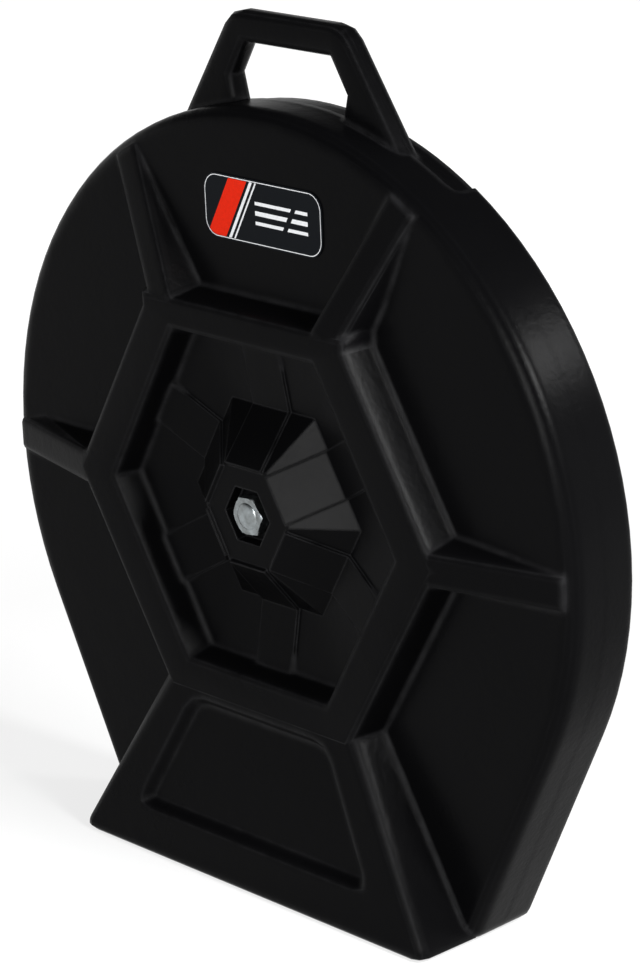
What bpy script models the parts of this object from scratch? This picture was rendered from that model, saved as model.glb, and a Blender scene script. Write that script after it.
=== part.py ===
"""A hard moulded case that carries a stack of cymbals on a central post.

Metres, Z up, the front faces -Y and the case stands on its flat bottom at Z = 0.
Depths run rearwards from the front of the foot. The last step of every build moves
them so that the middle of the whole depth lies on Y = 0.
"""

import math

import bmesh
import bpy
from mathutils import Vector

MM = 0.001

# Walls, clearances and how far helper forms run past what they cut or join
WALL = 4 * MM
GAP = 0.3 * MM
BURIED = 8 * MM
CUT_PAST = 10 * MM
EDGE_SHARE = 0.3

# Outline: a big circle and two small corner circles joined by tangent lines
RIM_RADIUS = 305 * MM
SOLE_CUT = 2.5 * MM
HUB_Z = RIM_RADIUS - SOLE_CUT
RIM_ROUND = 12 * MM
CORNER_SPARE = 4 * MM
CORNER_RADIUS = RIM_ROUND + CORNER_SPARE
CORNER_INSET = 121 * MM
CORNER_X = RIM_RADIUS - CORNER_INSET
ARC_STEPS = 66
CORNER_STEPS = 4
ROUND_STEPS = 4

# Depths from the front of the foot
FIELD_DEPTH = 48 * MM
RING_HEIGHT = 27.5 * MM
RING_DEPTH = FIELD_DEPTH - RING_HEIGHT
BOSS_RISE = 3.5 * MM
BOSS_DEPTH = RING_DEPTH - BOSS_RISE
RIM_LENGTH = 63 * MM
RIM_REAR_DEPTH = FIELD_DEPTH + RIM_LENGTH
LID_BULGE = 11 * MM
LID_REAR_DEPTH = RIM_REAR_DEPTH + LID_BULGE

# Rear of the rim and the inner ledge that carries the lid
REAR_EDGE_ROUND = 2.5 * MM
SEAT_WALL = 7 * MM
LEDGE_WIDTH = 6 * MM
LEDGE_BACK = 18 * MM
LEDGE_DEPTH = RIM_REAR_DEPTH - LEDGE_BACK
LEDGE_THICK = 5 * MM
LEDGE_SLOPE = 7 * MM

# Shallow land across the top of the rim, on its rear half
LAND_BACK = 22 * MM
LAND_DEPTH = RIM_REAR_DEPTH - LAND_BACK
LAND_SINK = 3.5 * MM
LAND_HALF_ANGLE = math.radians(31.8)
LAND_CORNER_ANGLE = math.radians(2.2)
LAND_CORNER = 8 * MM
LAND_STEPS = 24

# Raised hexagonal ring: its corners as shares of the rim's radius
RING_SIDE_SHARE = 0.6443
RING_TOP_X_SHARE = 0.3607
RING_TOP_RISE_SHARE = 0.5164
RING_LOW_X_SHARE = 0.3246
RING_LOW_DROP_SHARE = 0.5344
RING_SIDE_X = RING_SIDE_SHARE * RIM_RADIUS
RING_TOP_X = RING_TOP_X_SHARE * RIM_RADIUS
RING_TOP_RISE = RING_TOP_RISE_SHARE * RIM_RADIUS
RING_LOW_X = RING_LOW_X_SHARE * RIM_RADIUS
RING_LOW_DROP = RING_LOW_DROP_SHARE * RIM_RADIUS
RING_CLIP = 11.8 * MM
RING_DRAFT_SHARE = 0.22
RING_EDGE = 5 * MM

# Hexagonal pocket for the post's head, in the middle of the hub
HEAD_INRADIUS = 14.2 * MM
HEAD_ROOM = 7.3 * MM
POCKET_INRADIUS = HEAD_INRADIUS + HEAD_ROOM
POCKET_DRAFT = 1 * MM
POCKET_FLOOR_INRADIUS = POCKET_INRADIUS - POCKET_DRAFT
POCKET_DEEP = 13 * MM
POCKET_FLOOR_DEPTH = BOSS_DEPTH + POCKET_DEEP
POCKET_FLOOR_THICK = 5 * MM

# Recess inside the ring, its floor and the hexagonal hub that rises from it
RING_BAND = 31 * MM
RECESS_INRADIUS = RING_LOW_DROP - RING_BAND
RECESS_DRAFT = 5 * MM
RECESS_FOOT_INRADIUS = RECESS_INRADIUS - RECESS_DRAFT
RECESS_SHALLOW = 5 * MM
RECESS_FLOOR_DEPTH = FIELD_DEPTH - RECESS_SHALLOW
HUB_BASE_SHARE = 0.614
HUB_BASE_INRADIUS = HUB_BASE_SHARE * RECESS_FOOT_INRADIUS
HUB_BASE_SINK = 4 * MM
HUB_BASE_DEPTH = FIELD_DEPTH + HUB_BASE_SINK
HUB_LAND = 13.5 * MM
HUB_TOP_INRADIUS = POCKET_INRADIUS + HUB_LAND
HUB_EDGE = 1.5 * MM
STRIP_CLEAR = 0.7 * MM
STRIP_HALF_WIDTH = HUB_TOP_INRADIUS * math.tan(math.pi / 6) - STRIP_CLEAR
STRIP_HEIGHT = 2.5 * MM
STRIP_BURIED = 2 * MM

# Four ribs that run down from the ring to the rim
RIB_FRONT_HALF = 13.5 * MM
RIB_SPREAD = 8.5 * MM
RIB_BASE_HALF = RIB_FRONT_HALF + RIB_SPREAD
RIB_EDGE = 4 * MM
RIB_END_INSET = 9 * MM
RIB_END_RADIUS = RIM_RADIUS - RIB_END_INSET
RIB_END_LIFT = 2.5 * MM
RIB_START_SINK = 0.5 * MM
SIDE_RIB_BACK = 6.5 * MM
SIDE_RIB_START = RING_SIDE_X - SIDE_RIB_BACK
UPPER_RIB_BACK = 14 * MM
UPPER_RIB_START = math.hypot(RING_TOP_X, RING_TOP_RISE) - UPPER_RIB_BACK
RIB_ROOT_BACK = 20 * MM

# Trapezoid foot below the ring
FOOT_OVERLAP = 1.5 * MM
FOOT_TOP_Z = HUB_Z - RING_LOW_DROP + FOOT_OVERLAP
FOOT_BURIED_RISE = 31 * MM
FOOT_BURIED_TOP_Z = FOOT_TOP_Z + FOOT_BURIED_RISE
FOOT_TOE = 12 * MM
FOOT_BOTTOM_HALF = CORNER_X + FOOT_TOE
FOOT_SHOULDER = 12 * MM
FOOT_TOP_HALF = RING_LOW_X + FOOT_SHOULDER
FOOT_BOTTOM_DRAFT = 1.5 * MM
FOOT_BASE_BOTTOM_HALF = FOOT_BOTTOM_HALF + FOOT_BOTTOM_DRAFT
FOOT_TOP_DRAFT = 8 * MM
FOOT_BASE_TOP_HALF = FOOT_TOP_HALF + FOOT_TOP_DRAFT
FOOT_EDGE = 8 * MM
FOOT_SOLE_EDGE = 3 * MM
FOOT_SOLE_ROUND = 10 * MM
FOOT_STEPS = 6
SOLE_STEPS = 2

# Sunken panel in the foot's front
PANEL_TOP_DROP = 4 * MM
PANEL_TOP_Z = FOOT_TOP_Z - PANEL_TOP_DROP
PANEL_BOTTOM_Z = 38 * MM
PANEL_TOP_INSET = 37 * MM
PANEL_TOP_HALF = FOOT_TOP_HALF - PANEL_TOP_INSET
PANEL_BOTTOM_INSET = 68 * MM
PANEL_BOTTOM_HALF = FOOT_BOTTOM_HALF - PANEL_BOTTOM_INSET
PANEL_SINK = 8 * MM
PANEL_EDGE = 2.5 * MM
PANEL_DRAFT = 5 * MM
PANEL_CORNER_SPARE = 8 * MM
PANEL_CORNER = PANEL_DRAFT + PANEL_CORNER_SPARE

# Handle on top of the rim
HANDLE_BACK = 32 * MM
HANDLE_FRONT_DEPTH = RIM_REAR_DEPTH - HANDLE_BACK
HANDLE_THICK = 19 * MM
HANDLE_EDGE = 6 * MM
HANDLE_RISE = 63.5 * MM
HANDLE_TOP_Z = HUB_Z + RIM_RADIUS + HANDLE_RISE
HANDLE_TOP_HALF = 60 * MM
HANDLE_SPREAD = 60 * MM
HANDLE_BASE_HALF = HANDLE_TOP_HALF + HANDLE_SPREAD
HANDLE_SUNK = 3 * MM
HANDLE_BASE_Z = HUB_Z + math.sqrt(RIM_RADIUS**2 - HANDLE_BASE_HALF**2) - HANDLE_SUNK
HANDLE_CORNER = 12 * MM
GRIP_BAR = 24 * MM
GRIP_TOP_Z = HANDLE_TOP_Z - GRIP_BAR
GRIP_SUNK = 11.5 * MM
GRIP_FLOOR_Z = HUB_Z + RIM_RADIUS - GRIP_SUNK
GRIP_WIDE_SHARE = 0.49
GRIP_WIDE_Z = GRIP_FLOOR_Z + GRIP_WIDE_SHARE * (GRIP_TOP_Z - GRIP_FLOOR_Z)
GRIP_TOP_INSET = 14.5 * MM
GRIP_TOP_HALF = HANDLE_TOP_HALF - GRIP_TOP_INSET
GRIP_FLARE = 15.5 * MM
GRIP_WIDE_HALF = GRIP_TOP_HALF + GRIP_FLARE
GRIP_CLOSE = 6 * MM
GRIP_FLOOR_HALF = GRIP_WIDE_HALF - GRIP_CLOSE

# Post, its head and the pieces that clamp it
POST_RADIUS = 3.9 * MM
BORE_RADIUS = POST_RADIUS + GAP
POST_END_BACK = 3 * MM
POST_REAR_DEPTH = LID_REAR_DEPTH - POST_END_BACK
POST_TIP = 1 * MM
HEAD_THICK = 7.5 * MM
HEAD_TURN = math.radians(6)
DOME_SHARE = 0.74
DOME_RISE = 2.4 * MM
DOME_STEPS = 3
HEX_FACE_SHARE = 1.04
HEX_STEPS = 24
HEAD_WASHER_RADIUS = HEAD_INRADIUS
HEAD_WASHER_THICK = 1.6 * MM
CLAMP_WASHER_RADIUS = 20 * MM
CLAMP_WASHER_THICK = 2 * MM
LOCK_WIDTH = 2.8 * MM
LOCK_WASHER_RADIUS = BORE_RADIUS + LOCK_WIDTH
LOCK_WASHER_THICK = 2 * MM
LOCK_SPLIT = 1.2 * MM
NUT_WIDTH = 2.3 * MM
NUT_INRADIUS = BORE_RADIUS + NUT_WIDTH
NUT_THICK = 6.5 * MM

# Sleeve, felts and divider discs
SLEEVE_WALL = 1.8 * MM
SLEEVE_RADIUS = BORE_RADIUS + SLEEVE_WALL
ON_SLEEVE_RADIUS = SLEEVE_RADIUS + GAP
FELT_RADIUS = 20 * MM
REAR_FELT_THICK = 6 * MM
FELT_EDGE = 1.5 * MM
DIVIDER_INSET = 27 * MM
DIVIDER_RADIUS = RIM_RADIUS - DIVIDER_INSET
DIVIDER_THICK = 3 * MM
DIVIDER_COUNT = 3

# Cup washer and wing nut
CUP_RADIUS = 16 * MM
CUP_THICK = 1.5 * MM
WING_HUB_WALL = 2.3 * MM
WING_HUB_TIP_RADIUS = BORE_RADIUS + WING_HUB_WALL
WING_HUB_TAPER = 2.5 * MM
WING_HUB_RADIUS = WING_HUB_TIP_RADIUS + WING_HUB_TAPER
WING_HUB_LENGTH = 10 * MM
WING_THICK = 3 * MM
WING_SPAN = 21 * MM
WING_TIP_RISE = 14 * MM
WING_ROOT_RISE = 2 * MM
WING_ROOT_DEEP = 0.5 * MM
WING_ROOT_RADIUS = WING_HUB_TIP_RADIUS - WING_ROOT_DEEP
WING_SHARES = (0.6, 0.75, 0.8)

# Knob that holds the lid on
INSERT_WALL = 3.3 * MM
INSERT_RADIUS = BORE_RADIUS + INSERT_WALL
KNOB_COLLAR_WALL = 7.5 * MM
KNOB_COLLAR_RADIUS = INSERT_RADIUS + KNOB_COLLAR_WALL
KNOB_COLLAR = 3 * MM
KNOB_WEB = 12 * MM
KNOB_RADIUS = KNOB_COLLAR_RADIUS + KNOB_WEB
KNOB_LOBE = 3.5 * MM
KNOB_LOBES = 5
KNOB_EDGE = 2.5 * MM
LID_WASHER_RADIUS = 14 * MM
LID_WASHER_THICK = 1.6 * MM
BUSH_WALL = 4.1 * MM
LID_HOLE_RADIUS = BORE_RADIUS + BUSH_WALL
BUSH_FLANGE = 4.7 * MM
BUSH_FLANGE_RADIUS = LID_HOLE_RADIUS + BUSH_FLANGE
BUSH_FLANGE_THICK = 2 * MM

# Lid behind the rim
LID_FLANGE_SINK = 1 * MM
LID_FLANGE_REAR_DEPTH = RIM_REAR_DEPTH - LID_FLANGE_SINK
SEAL_THICK = 2 * MM
LID_SKIRT_FRONT_DEPTH = LEDGE_DEPTH + SEAL_THICK + 2 * GAP
SEAL_SPARE = 1.5 * MM
SEAL_WIDTH = LEDGE_WIDTH - SEAL_SPARE
LID_FLANGE_WIDTH = 18 * MM
LID_FIELD_SLOPE = 9 * MM
LID_EDGE_ROUND = 2 * MM
LID_PANEL_INRADIUS = 150 * MM
LID_PANEL_SINK = 5 * MM
LID_PANEL_DEPTH = LID_REAR_DEPTH - LID_PANEL_SINK
LID_PANEL_DRAFT = 3 * MM
FINGER_ROOM = 11 * MM
LID_WELL_FLOOR_INRADIUS = KNOB_RADIUS + FINGER_ROOM
LID_WELL_FLARE = 8 * MM
LID_WELL_INRADIUS = LID_WELL_FLOOR_INRADIUS + LID_WELL_FLARE
LID_WELL_SINK = 14 * MM
LID_WELL_DEPTH = LID_REAR_DEPTH - LID_WELL_SINK

# Foam on the front wall and on the lid
PAD_THICK = 5 * MM
PAD_RIM_SPARE = 2 * MM
FRONT_PAD_INSET = RIM_ROUND + PAD_RIM_SPARE
PAD_HOLE_SPARE = 3 * MM
FRONT_PAD_HOLE = RECESS_FOOT_INRADIUS - PAD_HOLE_SPARE
REAR_PAD_SPARE = 10 * MM
REAR_PAD_RADIUS = LID_PANEL_INRADIUS - REAR_PAD_SPARE
REAR_PAD_HOLE_SPARE = 24 * MM
REAR_PAD_HOLE = LID_WELL_INRADIUS + REAR_PAD_HOLE_SPARE

# Nameplate on the field above the ring
PLATE_HALF_WIDTH = 63.5 * MM
PLATE_HALF_HEIGHT = 25 * MM
PLATE_THICK = 0.8 * MM
PLATE_CORNER_SHARE = 0.56
PLATE_CORNER = PLATE_CORNER_SHARE * PLATE_HALF_HEIGHT
PLATE_X = 3 * MM
PLATE_LIFT = 70.5 * MM
PLATE_Z = HUB_Z + RING_TOP_RISE + PLATE_LIFT
PLATE_CORNER_STEPS = 6

ROUND_PIECE_STEPS = 32
BIG_DISC_STEPS = 64
KNOB_STEPS = 50
SMOOTH_ANGLE = math.radians(32)
MID_DEPTH = LID_REAR_DEPTH / 2

# Colours and surfaces
SHELL_COLOUR = (0.008, 0.008, 0.009)
KNOB_COLOUR = (0.02, 0.02, 0.021)
ZINC_COLOUR = (0.6, 0.6, 0.58)
BRASS_COLOUR = (0.65, 0.47, 0.2)
NYLON_COLOUR = (0.55, 0.55, 0.53)
FELT_COLOUR = (0.05, 0.05, 0.055)
FOAM_COLOUR = (0.035, 0.035, 0.038)
RUBBER_COLOUR = (0.02, 0.02, 0.02)
PLATE_COLOUR = (0.015, 0.015, 0.017)
SHELL_ROUGHNESS = 0.42
ZINC_ROUGHNESS = 0.33
NYLON_ROUGHNESS = 0.5
SOFT_ROUGHNESS = 0.95


def at(x, depth, height):
    """A point in the row frame, from its depth behind the front of the foot."""
    return Vector((x, depth - MID_DEPTH, height))


def on_hub(radius, angle, depth):
    """A point around the post's axis."""
    return at(radius * math.cos(angle), depth, HUB_Z + radius * math.sin(angle))


def arc(start, end, steps):
    """Even steps from start to end, both included."""
    return [start + (end - start) * i / steps for i in range(steps + 1)]


def skin(loops, closed=False):
    """A closed surface over loops of equal length, capped at both ends unless the loops close on themselves."""
    mesh = bmesh.new()
    rows = [[mesh.verts.new(point) for point in loop] for loop in loops]
    pairs = list(zip(rows, rows[1:]))
    if closed:
        pairs.append((rows[-1], rows[0]))
    else:
        mesh.faces.new(rows[0])
        mesh.faces.new(rows[-1])
    for near, far in pairs:
        for i in range(len(near)):
            mesh.faces.new((near[i - 1], near[i], far[i], far[i - 1]))
    bmesh.ops.recalc_face_normals(mesh, faces=mesh.faces)
    return mesh


def add(name, mesh, origin=None, helper=False):
    """Puts a bmesh into the scene as one object, with its origin where asked."""
    origin = origin or Vector((0, 0, 0))
    bmesh.ops.translate(mesh, vec=-origin, verts=mesh.verts)
    data = bpy.data.meshes.new(name)
    mesh.to_mesh(data)
    mesh.free()
    piece = bpy.data.objects.new(name, data)
    piece.location = origin
    bpy.context.scene.collection.objects.link(piece)
    if helper:
        piece.hide_render = True
        piece.display_type = "WIRE"
    return piece


def combine(piece, other, operation):
    """Adds an exact Boolean to the piece."""
    step = piece.modifiers.new(operation.lower(), "BOOLEAN")
    step.operation = operation
    step.solver = "EXACT"
    step.object = other


def smooth(piece):
    """Shades the piece smooth, keeping its real edges sharp."""
    mesh = bmesh.new()
    mesh.from_mesh(piece.data)
    for face in mesh.faces:
        face.smooth = True
    for edge in mesh.edges:
        edge.smooth = edge.calc_face_angle(math.pi) < SMOOTH_ANGLE
    mesh.to_mesh(piece.data)
    mesh.free()


def paint(piece, colour, roughness, metallic=0):
    """Gives the piece its own Principled material."""
    material = bpy.data.materials.new(piece.name)
    material.use_nodes = True
    shader = material.node_tree.nodes["Principled BSDF"]
    shader.inputs["Base Color"].default_value = (*colour, 1)
    shader.inputs["Roughness"].default_value = roughness
    shader.inputs["Metallic"].default_value = metallic
    piece.data.materials.append(material)
    smooth(piece)


def outline(inset, depth):
    """The case's outline drawn in by the inset, from the left corner over the top and back along the sole."""
    across, down = CORNER_X, CORNER_RADIUS - HUB_Z
    turn = math.acos((RIM_RADIUS - CORNER_RADIUS) / math.hypot(across, down))
    side = math.atan2(down, across) + turn
    points = []
    for angle in arc(side, math.pi - side, ARC_STEPS):
        points.append(on_hub(RIM_RADIUS - inset, angle, depth))
    radius = CORNER_RADIUS - inset
    for angle in arc(math.pi - side, 3 * math.pi / 2, CORNER_STEPS):
        points.append(at(radius * math.cos(angle) - CORNER_X, depth, CORNER_RADIUS + radius * math.sin(angle)))
    for angle in arc(-math.pi / 2, side, CORNER_STEPS):
        points.append(at(CORNER_X + radius * math.cos(angle), depth, CORNER_RADIUS + radius * math.sin(angle)))
    return points


def circle(radius, depth, steps=ROUND_PIECE_STEPS):
    """A circle round the post."""
    return [on_hub(radius, 2 * math.pi * i / steps, depth) for i in range(steps)]


def hexagon(inradius, depth, turn=0.0):
    """A regular hexagon round the post, with corners to the left and right."""
    radius = inradius / math.cos(math.pi / 6)
    return [on_hub(radius, turn + math.pi / 3 * i, depth) for i in range(6)]


def turned(profile, steps=ROUND_PIECE_STEPS):
    """A ring round the post, from a closed profile of radius and depth."""
    return skin([circle(radius, depth, steps) for radius, depth in profile], closed=True)


def drawn_in(corners, inset):
    """The corners of a convex loop after every side has moved in by the inset."""
    lines = []
    for here, there in zip(corners, corners[1:] + corners[:1]):
        run = Vector((there[0] - here[0], there[1] - here[1])).normalized()
        inward = Vector((-run.y, run.x))
        lines.append((inward, inward.dot(Vector(here)) + inset))
    moved = []
    for (before, a), (after, b) in zip(lines[-1:] + lines[:-1], lines):
        cross = before.x * after.y - before.y * after.x
        moved.append(((a * after.y - b * before.y) / cross, (b * before.x - a * after.x) / cross))
    return moved


def eased(corners, cut):
    """A loop whose corners are each swapped for three points that start and end the cut away from it."""
    points = []
    for before, here, after in zip(corners[-1:] + corners[:-1], corners, corners[1:] + corners[:1]):
        corner = Vector(here)
        first = corner + cut * (Vector(before) - corner).normalized()
        last = corner + cut * (Vector(after) - corner).normalized()
        middle = corner.lerp((first + last) / 2, 1 / 2)
        points += [tuple(first), tuple(middle), tuple(last)]
    return points


def wall_section(foot, base, half, front, edge):
    """Half widths and depths across a raised bar: up one wall, round its front edge, and the same mirrored."""
    ease = EDGE_SHARE * edge
    right = [(foot, base), (half, front + edge), (half - ease, front + ease), (half - edge, front)]
    return right + [(-x, depth) for x, depth in reversed(right)]


def case_body(inset, rear_steps):
    """The drum of the case: rounded front edge, then the given steps of inset and depth to the rear."""
    loops = []
    radius = RIM_ROUND - inset
    for angle in arc(0, math.pi / 2, ROUND_STEPS):
        edge = inset + radius * (1 - math.sin(angle))
        loops.append(outline(edge, FIELD_DEPTH + inset + radius * (1 - math.cos(angle))))
    loops += [outline(step, depth) for step, depth in rear_steps]
    return skin(loops)


def ring_corners():
    """The ring's eight outer corners in X and height above the hub, anticlockwise from the right."""
    right = [(RING_SIDE_X, 0), (RING_TOP_X, RING_TOP_RISE - RING_CLIP), (RING_TOP_X, RING_TOP_RISE)]
    left = [(-x, rise) for x, rise in reversed(right)]
    return right + left + [(-RING_LOW_X, -RING_LOW_DROP), (RING_LOW_X, -RING_LOW_DROP)]


def ring_block(inset):
    """The solid hexagon that stands out of the field, with rounded front edges and drafted walls."""
    edge = RING_EDGE
    draft = RING_DRAFT_SHARE * (FIELD_DEPTH + BURIED - RING_DEPTH - edge)
    steps = [
        (edge, RING_DEPTH),
        (EDGE_SHARE * edge, RING_DEPTH + EDGE_SHARE * edge),
        (0, RING_DEPTH + edge),
        (-draft, FIELD_DEPTH + BURIED),
    ]
    return skin(
        [
            [at(x, depth + inset, HUB_Z + rise) for x, rise in drawn_in(ring_corners(), step + inset)]
            for step, depth in steps
        ]
    )


def hub_slope():
    """Run outwards for each unit of depth on the hub's facets."""
    return (HUB_BASE_INRADIUS - HUB_TOP_INRADIUS) / (HUB_BASE_DEPTH - BOSS_DEPTH)


def recess_void(grow):
    """The space in front of the recess floor and the hub, grown into the wall by the given amount."""
    slope = hub_slope()
    shift = grow * math.hypot(1, slope)
    edge = RING_EDGE
    base = HUB_BASE_INRADIUS - shift + grow * slope
    top = HUB_TOP_INRADIUS - shift + (HUB_EDGE + grow) * slope
    steps = [
        (RECESS_INRADIUS + grow + edge + BURIED, RING_DEPTH - BURIED),
        (RECESS_INRADIUS + grow + edge, RING_DEPTH),
        (RECESS_INRADIUS + grow + EDGE_SHARE * edge, RING_DEPTH + EDGE_SHARE * edge),
        (RECESS_INRADIUS + grow, RING_DEPTH + edge),
        (RECESS_FOOT_INRADIUS + grow, RECESS_FLOOR_DEPTH + grow),
        (base, HUB_BASE_DEPTH + grow),
        (top, BOSS_DEPTH + HUB_EDGE + grow),
        (top - HUB_EDGE * slope - HUB_EDGE, BOSS_DEPTH + grow),
    ]
    return skin([hexagon(inradius, depth) for inradius, depth in steps])


def radial_prism(section, half_width, angle):
    """A bar along one radius: the section is in distance from the post and depth."""
    across = Vector((-math.sin(angle), 0, math.cos(angle)))
    return skin(
        [
            [on_hub(distance, angle, depth) + side * half_width * across for distance, depth in section]
            for side in (-1, 1)
        ]
    )


def hub_strip(angle):
    """A raised strip down one facet of the hub and out along the recess floor."""
    run = HUB_BASE_INRADIUS - HUB_TOP_INRADIUS
    fall = HUB_BASE_DEPTH - BOSS_DEPTH
    facet = Vector((fall, -run)).normalized()
    reach = RECESS_FOOT_INRADIUS - HUB_BASE_INRADIUS
    rise = HUB_BASE_DEPTH - RECESS_FLOOR_DEPTH
    floor = Vector((-rise, -reach)).normalized()
    top = Vector((HUB_TOP_INRADIUS, BOSS_DEPTH))
    base = Vector((HUB_BASE_INRADIUS, HUB_BASE_DEPTH))
    wall = Vector((RECESS_FOOT_INRADIUS, RECESS_FLOOR_DEPTH))
    bisector = (facet + floor) / (1 + facet.dot(floor))
    start = top + STRIP_HEIGHT * facet + (base - top) * (STRIP_HEIGHT / fall)
    section = [
        start,
        base + STRIP_HEIGHT * bisector,
        wall + STRIP_HEIGHT * floor + (wall - base) * (STRIP_BURIED / reach),
        wall - STRIP_BURIED * floor + (wall - base) * (STRIP_BURIED / reach),
        base - STRIP_BURIED * bisector,
        start - (STRIP_HEIGHT + STRIP_BURIED) * facet,
    ]
    return radial_prism(section, STRIP_HALF_WIDTH, angle)


def rib_block(angle, start, inset):
    """A rib that falls from the ring's front to the field at the rim."""
    across = Vector((-math.sin(angle), 0, math.cos(angle)))
    stations = (
        (start - RIB_ROOT_BACK, RING_DEPTH + RIB_START_SINK),
        (start, RING_DEPTH + RIB_START_SINK),
        (RIB_END_RADIUS - inset, FIELD_DEPTH - RIB_END_LIFT),
    )
    loops = []
    for distance, front in stations:
        base = FIELD_DEPTH + BURIED + inset
        section = wall_section(RIB_BASE_HALF - inset, base, RIB_FRONT_HALF - inset, front + inset, RIB_EDGE)
        loops.append([on_hub(distance, angle, depth) + side * across for side, depth in section])
    return skin(loops)


def foot_front(height):
    """Depth of the foot's front plane, which leans out from the ring down to the sole's edge."""
    return RING_DEPTH * (height - FOOT_SOLE_EDGE) / (FOOT_TOP_Z - FOOT_SOLE_EDGE)


def foot_half(bottom_half, top_half, height):
    """Half width of the foot at a height, between its values at the sole and at the ring."""
    return bottom_half + (top_half - bottom_half) * height / FOOT_TOP_Z


def foot_steps(inset):
    """Heights up the foot, each with how far the side edges and the front turn in at that height."""
    radius = FOOT_SOLE_ROUND - inset
    steps = [(inset, radius, FOOT_SOLE_EDGE)]
    for rise in arc(FOOT_SOLE_EDGE, radius, SOLE_STEPS):
        steps.append((inset + rise, radius - math.sqrt(radius**2 - (radius - rise) ** 2), 0))
    for height in arc(inset + radius, FOOT_BURIED_TOP_Z - inset, FOOT_STEPS)[1:]:
        steps.append((height, 0, 0))
    return steps


def foot_block(inset):
    """The trapezoid foot with its rounded lower corners, drawn in by the inset."""
    loops = []
    base = FIELD_DEPTH + BURIED + inset
    for height, side_in, front_in in foot_steps(inset):
        front = foot_front(height) + front_in + inset
        half = foot_half(FOOT_BOTTOM_HALF, FOOT_TOP_HALF, height) - inset - side_in
        foot = foot_half(FOOT_BASE_BOTTOM_HALF, FOOT_BASE_TOP_HALF, height) - inset - side_in
        section = wall_section(foot, base, half, front, FOOT_EDGE - inset)
        loops.append([at(x, depth, height) for x, depth in section])
    return skin(loops)


def panel_void(grow):
    """The space in front of the foot's sunken panel, grown into the wall by the given amount."""
    right = [(PANEL_BOTTOM_HALF, PANEL_BOTTOM_Z), (PANEL_TOP_HALF, PANEL_TOP_Z)]
    corners = eased(right + [(-x, height) for x, height in reversed(right)], PANEL_CORNER)
    steps = [
        (-PANEL_EDGE - grow, -BURIED),
        (-PANEL_EDGE - grow, 0),
        (-grow, PANEL_EDGE),
        (PANEL_DRAFT - grow, PANEL_SINK + grow),
    ]
    loops = []
    for inset, sink in steps:
        loop = drawn_in(corners, inset)
        loops.append([at(x, foot_front(height) + sink, height) for x, height in loop])
    return skin(loops)


def land_cutter():
    """The shallow land across the top of the rim."""
    loops = []
    corner = LAND_CORNER
    steps = (
        (LAND_DEPTH, LAND_CORNER_ANGLE),
        (LAND_DEPTH + corner / 4, LAND_CORNER_ANGLE / 4),
        (LAND_DEPTH + corner, 0),
        (RIM_REAR_DEPTH + CUT_PAST, 0),
    )
    for depth, closer in steps:
        half = LAND_HALF_ANGLE - closer
        angles = arc(math.pi / 2 - half, math.pi / 2 + half, LAND_STEPS)
        low = [on_hub(RIM_RADIUS - LAND_SINK, angle, depth) for angle in angles]
        high = [on_hub(RIM_RADIUS + CUT_PAST, angle, depth) for angle in reversed(angles)]
        loops.append(low + high)
    return skin(loops)


def handle_block():
    """The handle's outer trapezoid, with rounded top corners and bevelled long edges."""
    slant = Vector((HANDLE_BASE_HALF - HANDLE_TOP_HALF, HANDLE_BASE_Z - HANDLE_TOP_Z)).normalized()
    corner = Vector((HANDLE_TOP_HALF, HANDLE_TOP_Z))
    below = corner + HANDLE_CORNER * slant
    beside = corner - Vector((HANDLE_CORNER, 0))
    soft = corner.lerp((below + beside) / 2, 1 / 2)
    right = [(HANDLE_BASE_HALF, HANDLE_BASE_Z), tuple(below), tuple(soft), tuple(beside)]
    corners = right + [(-x, height) for x, height in reversed(right)]
    return skin(
        [
            [at(x, HANDLE_FRONT_DEPTH + depth, height) for x, height in drawn_in(corners, inset)]
            for inset, depth in bevelled(HANDLE_THICK, HANDLE_EDGE)
        ]
    )


def bevelled(thick, edge):
    """Steps of inset and depth across a thickness, with both long edges eased."""
    ease = EDGE_SHARE * edge
    return ((edge, 0), (ease, ease), (0, edge), (0, thick - edge), (ease, thick - ease), (edge, thick))


def grip_void():
    """The opening for the hand, flared at both faces."""
    right = [(GRIP_FLOOR_HALF, GRIP_FLOOR_Z), (GRIP_WIDE_HALF, GRIP_WIDE_Z), (GRIP_TOP_HALF, GRIP_TOP_Z)]
    corners = right + [(-x, height) for x, height in reversed(right)]
    steps = [(-HANDLE_EDGE - CUT_PAST, -CUT_PAST)]
    steps += [(-inset, depth) for inset, depth in bevelled(HANDLE_THICK, HANDLE_EDGE)]
    steps += [(-HANDLE_EDGE - CUT_PAST, HANDLE_THICK + CUT_PAST)]
    return skin(
        [
            [at(x, HANDLE_FRONT_DEPTH + depth, height) for x, height in drawn_in(corners, inset)]
            for inset, depth in steps
        ]
    )


def hub_axis(depth):
    """The origin for a piece that slides or turns on the post."""
    return on_hub(0, 0, depth)


def build_outer():
    """The front shell's outside: everything that stands out of the drum or is sunk into it."""
    edge = REAR_EDGE_ROUND
    ease = EDGE_SHARE * edge
    rear = RIM_REAR_DEPTH
    shell = add("front_shell", case_body(0, [(0, rear - edge), (ease, rear - ease), (edge, rear)]))
    combine(shell, add("land_cutter", land_cutter(), helper=True), "DIFFERENCE")
    handle = add("handle_form", handle_block(), helper=True)
    combine(handle, add("grip_cutter", grip_void(), helper=True), "DIFFERENCE")
    combine(shell, handle, "UNION")
    for form in raised_forms(0):
        combine(shell, form, "UNION")
    combine(shell, add("recess_cutter", recess_void(0), helper=True), "DIFFERENCE")
    combine(shell, add("panel_cutter", panel_void(0), helper=True), "DIFFERENCE")
    for i in range(6):
        strip = add(f"strip_form_{i}", hub_strip(math.pi / 6 + math.pi / 3 * i), helper=True)
        combine(shell, strip, "UNION")
    return shell


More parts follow.
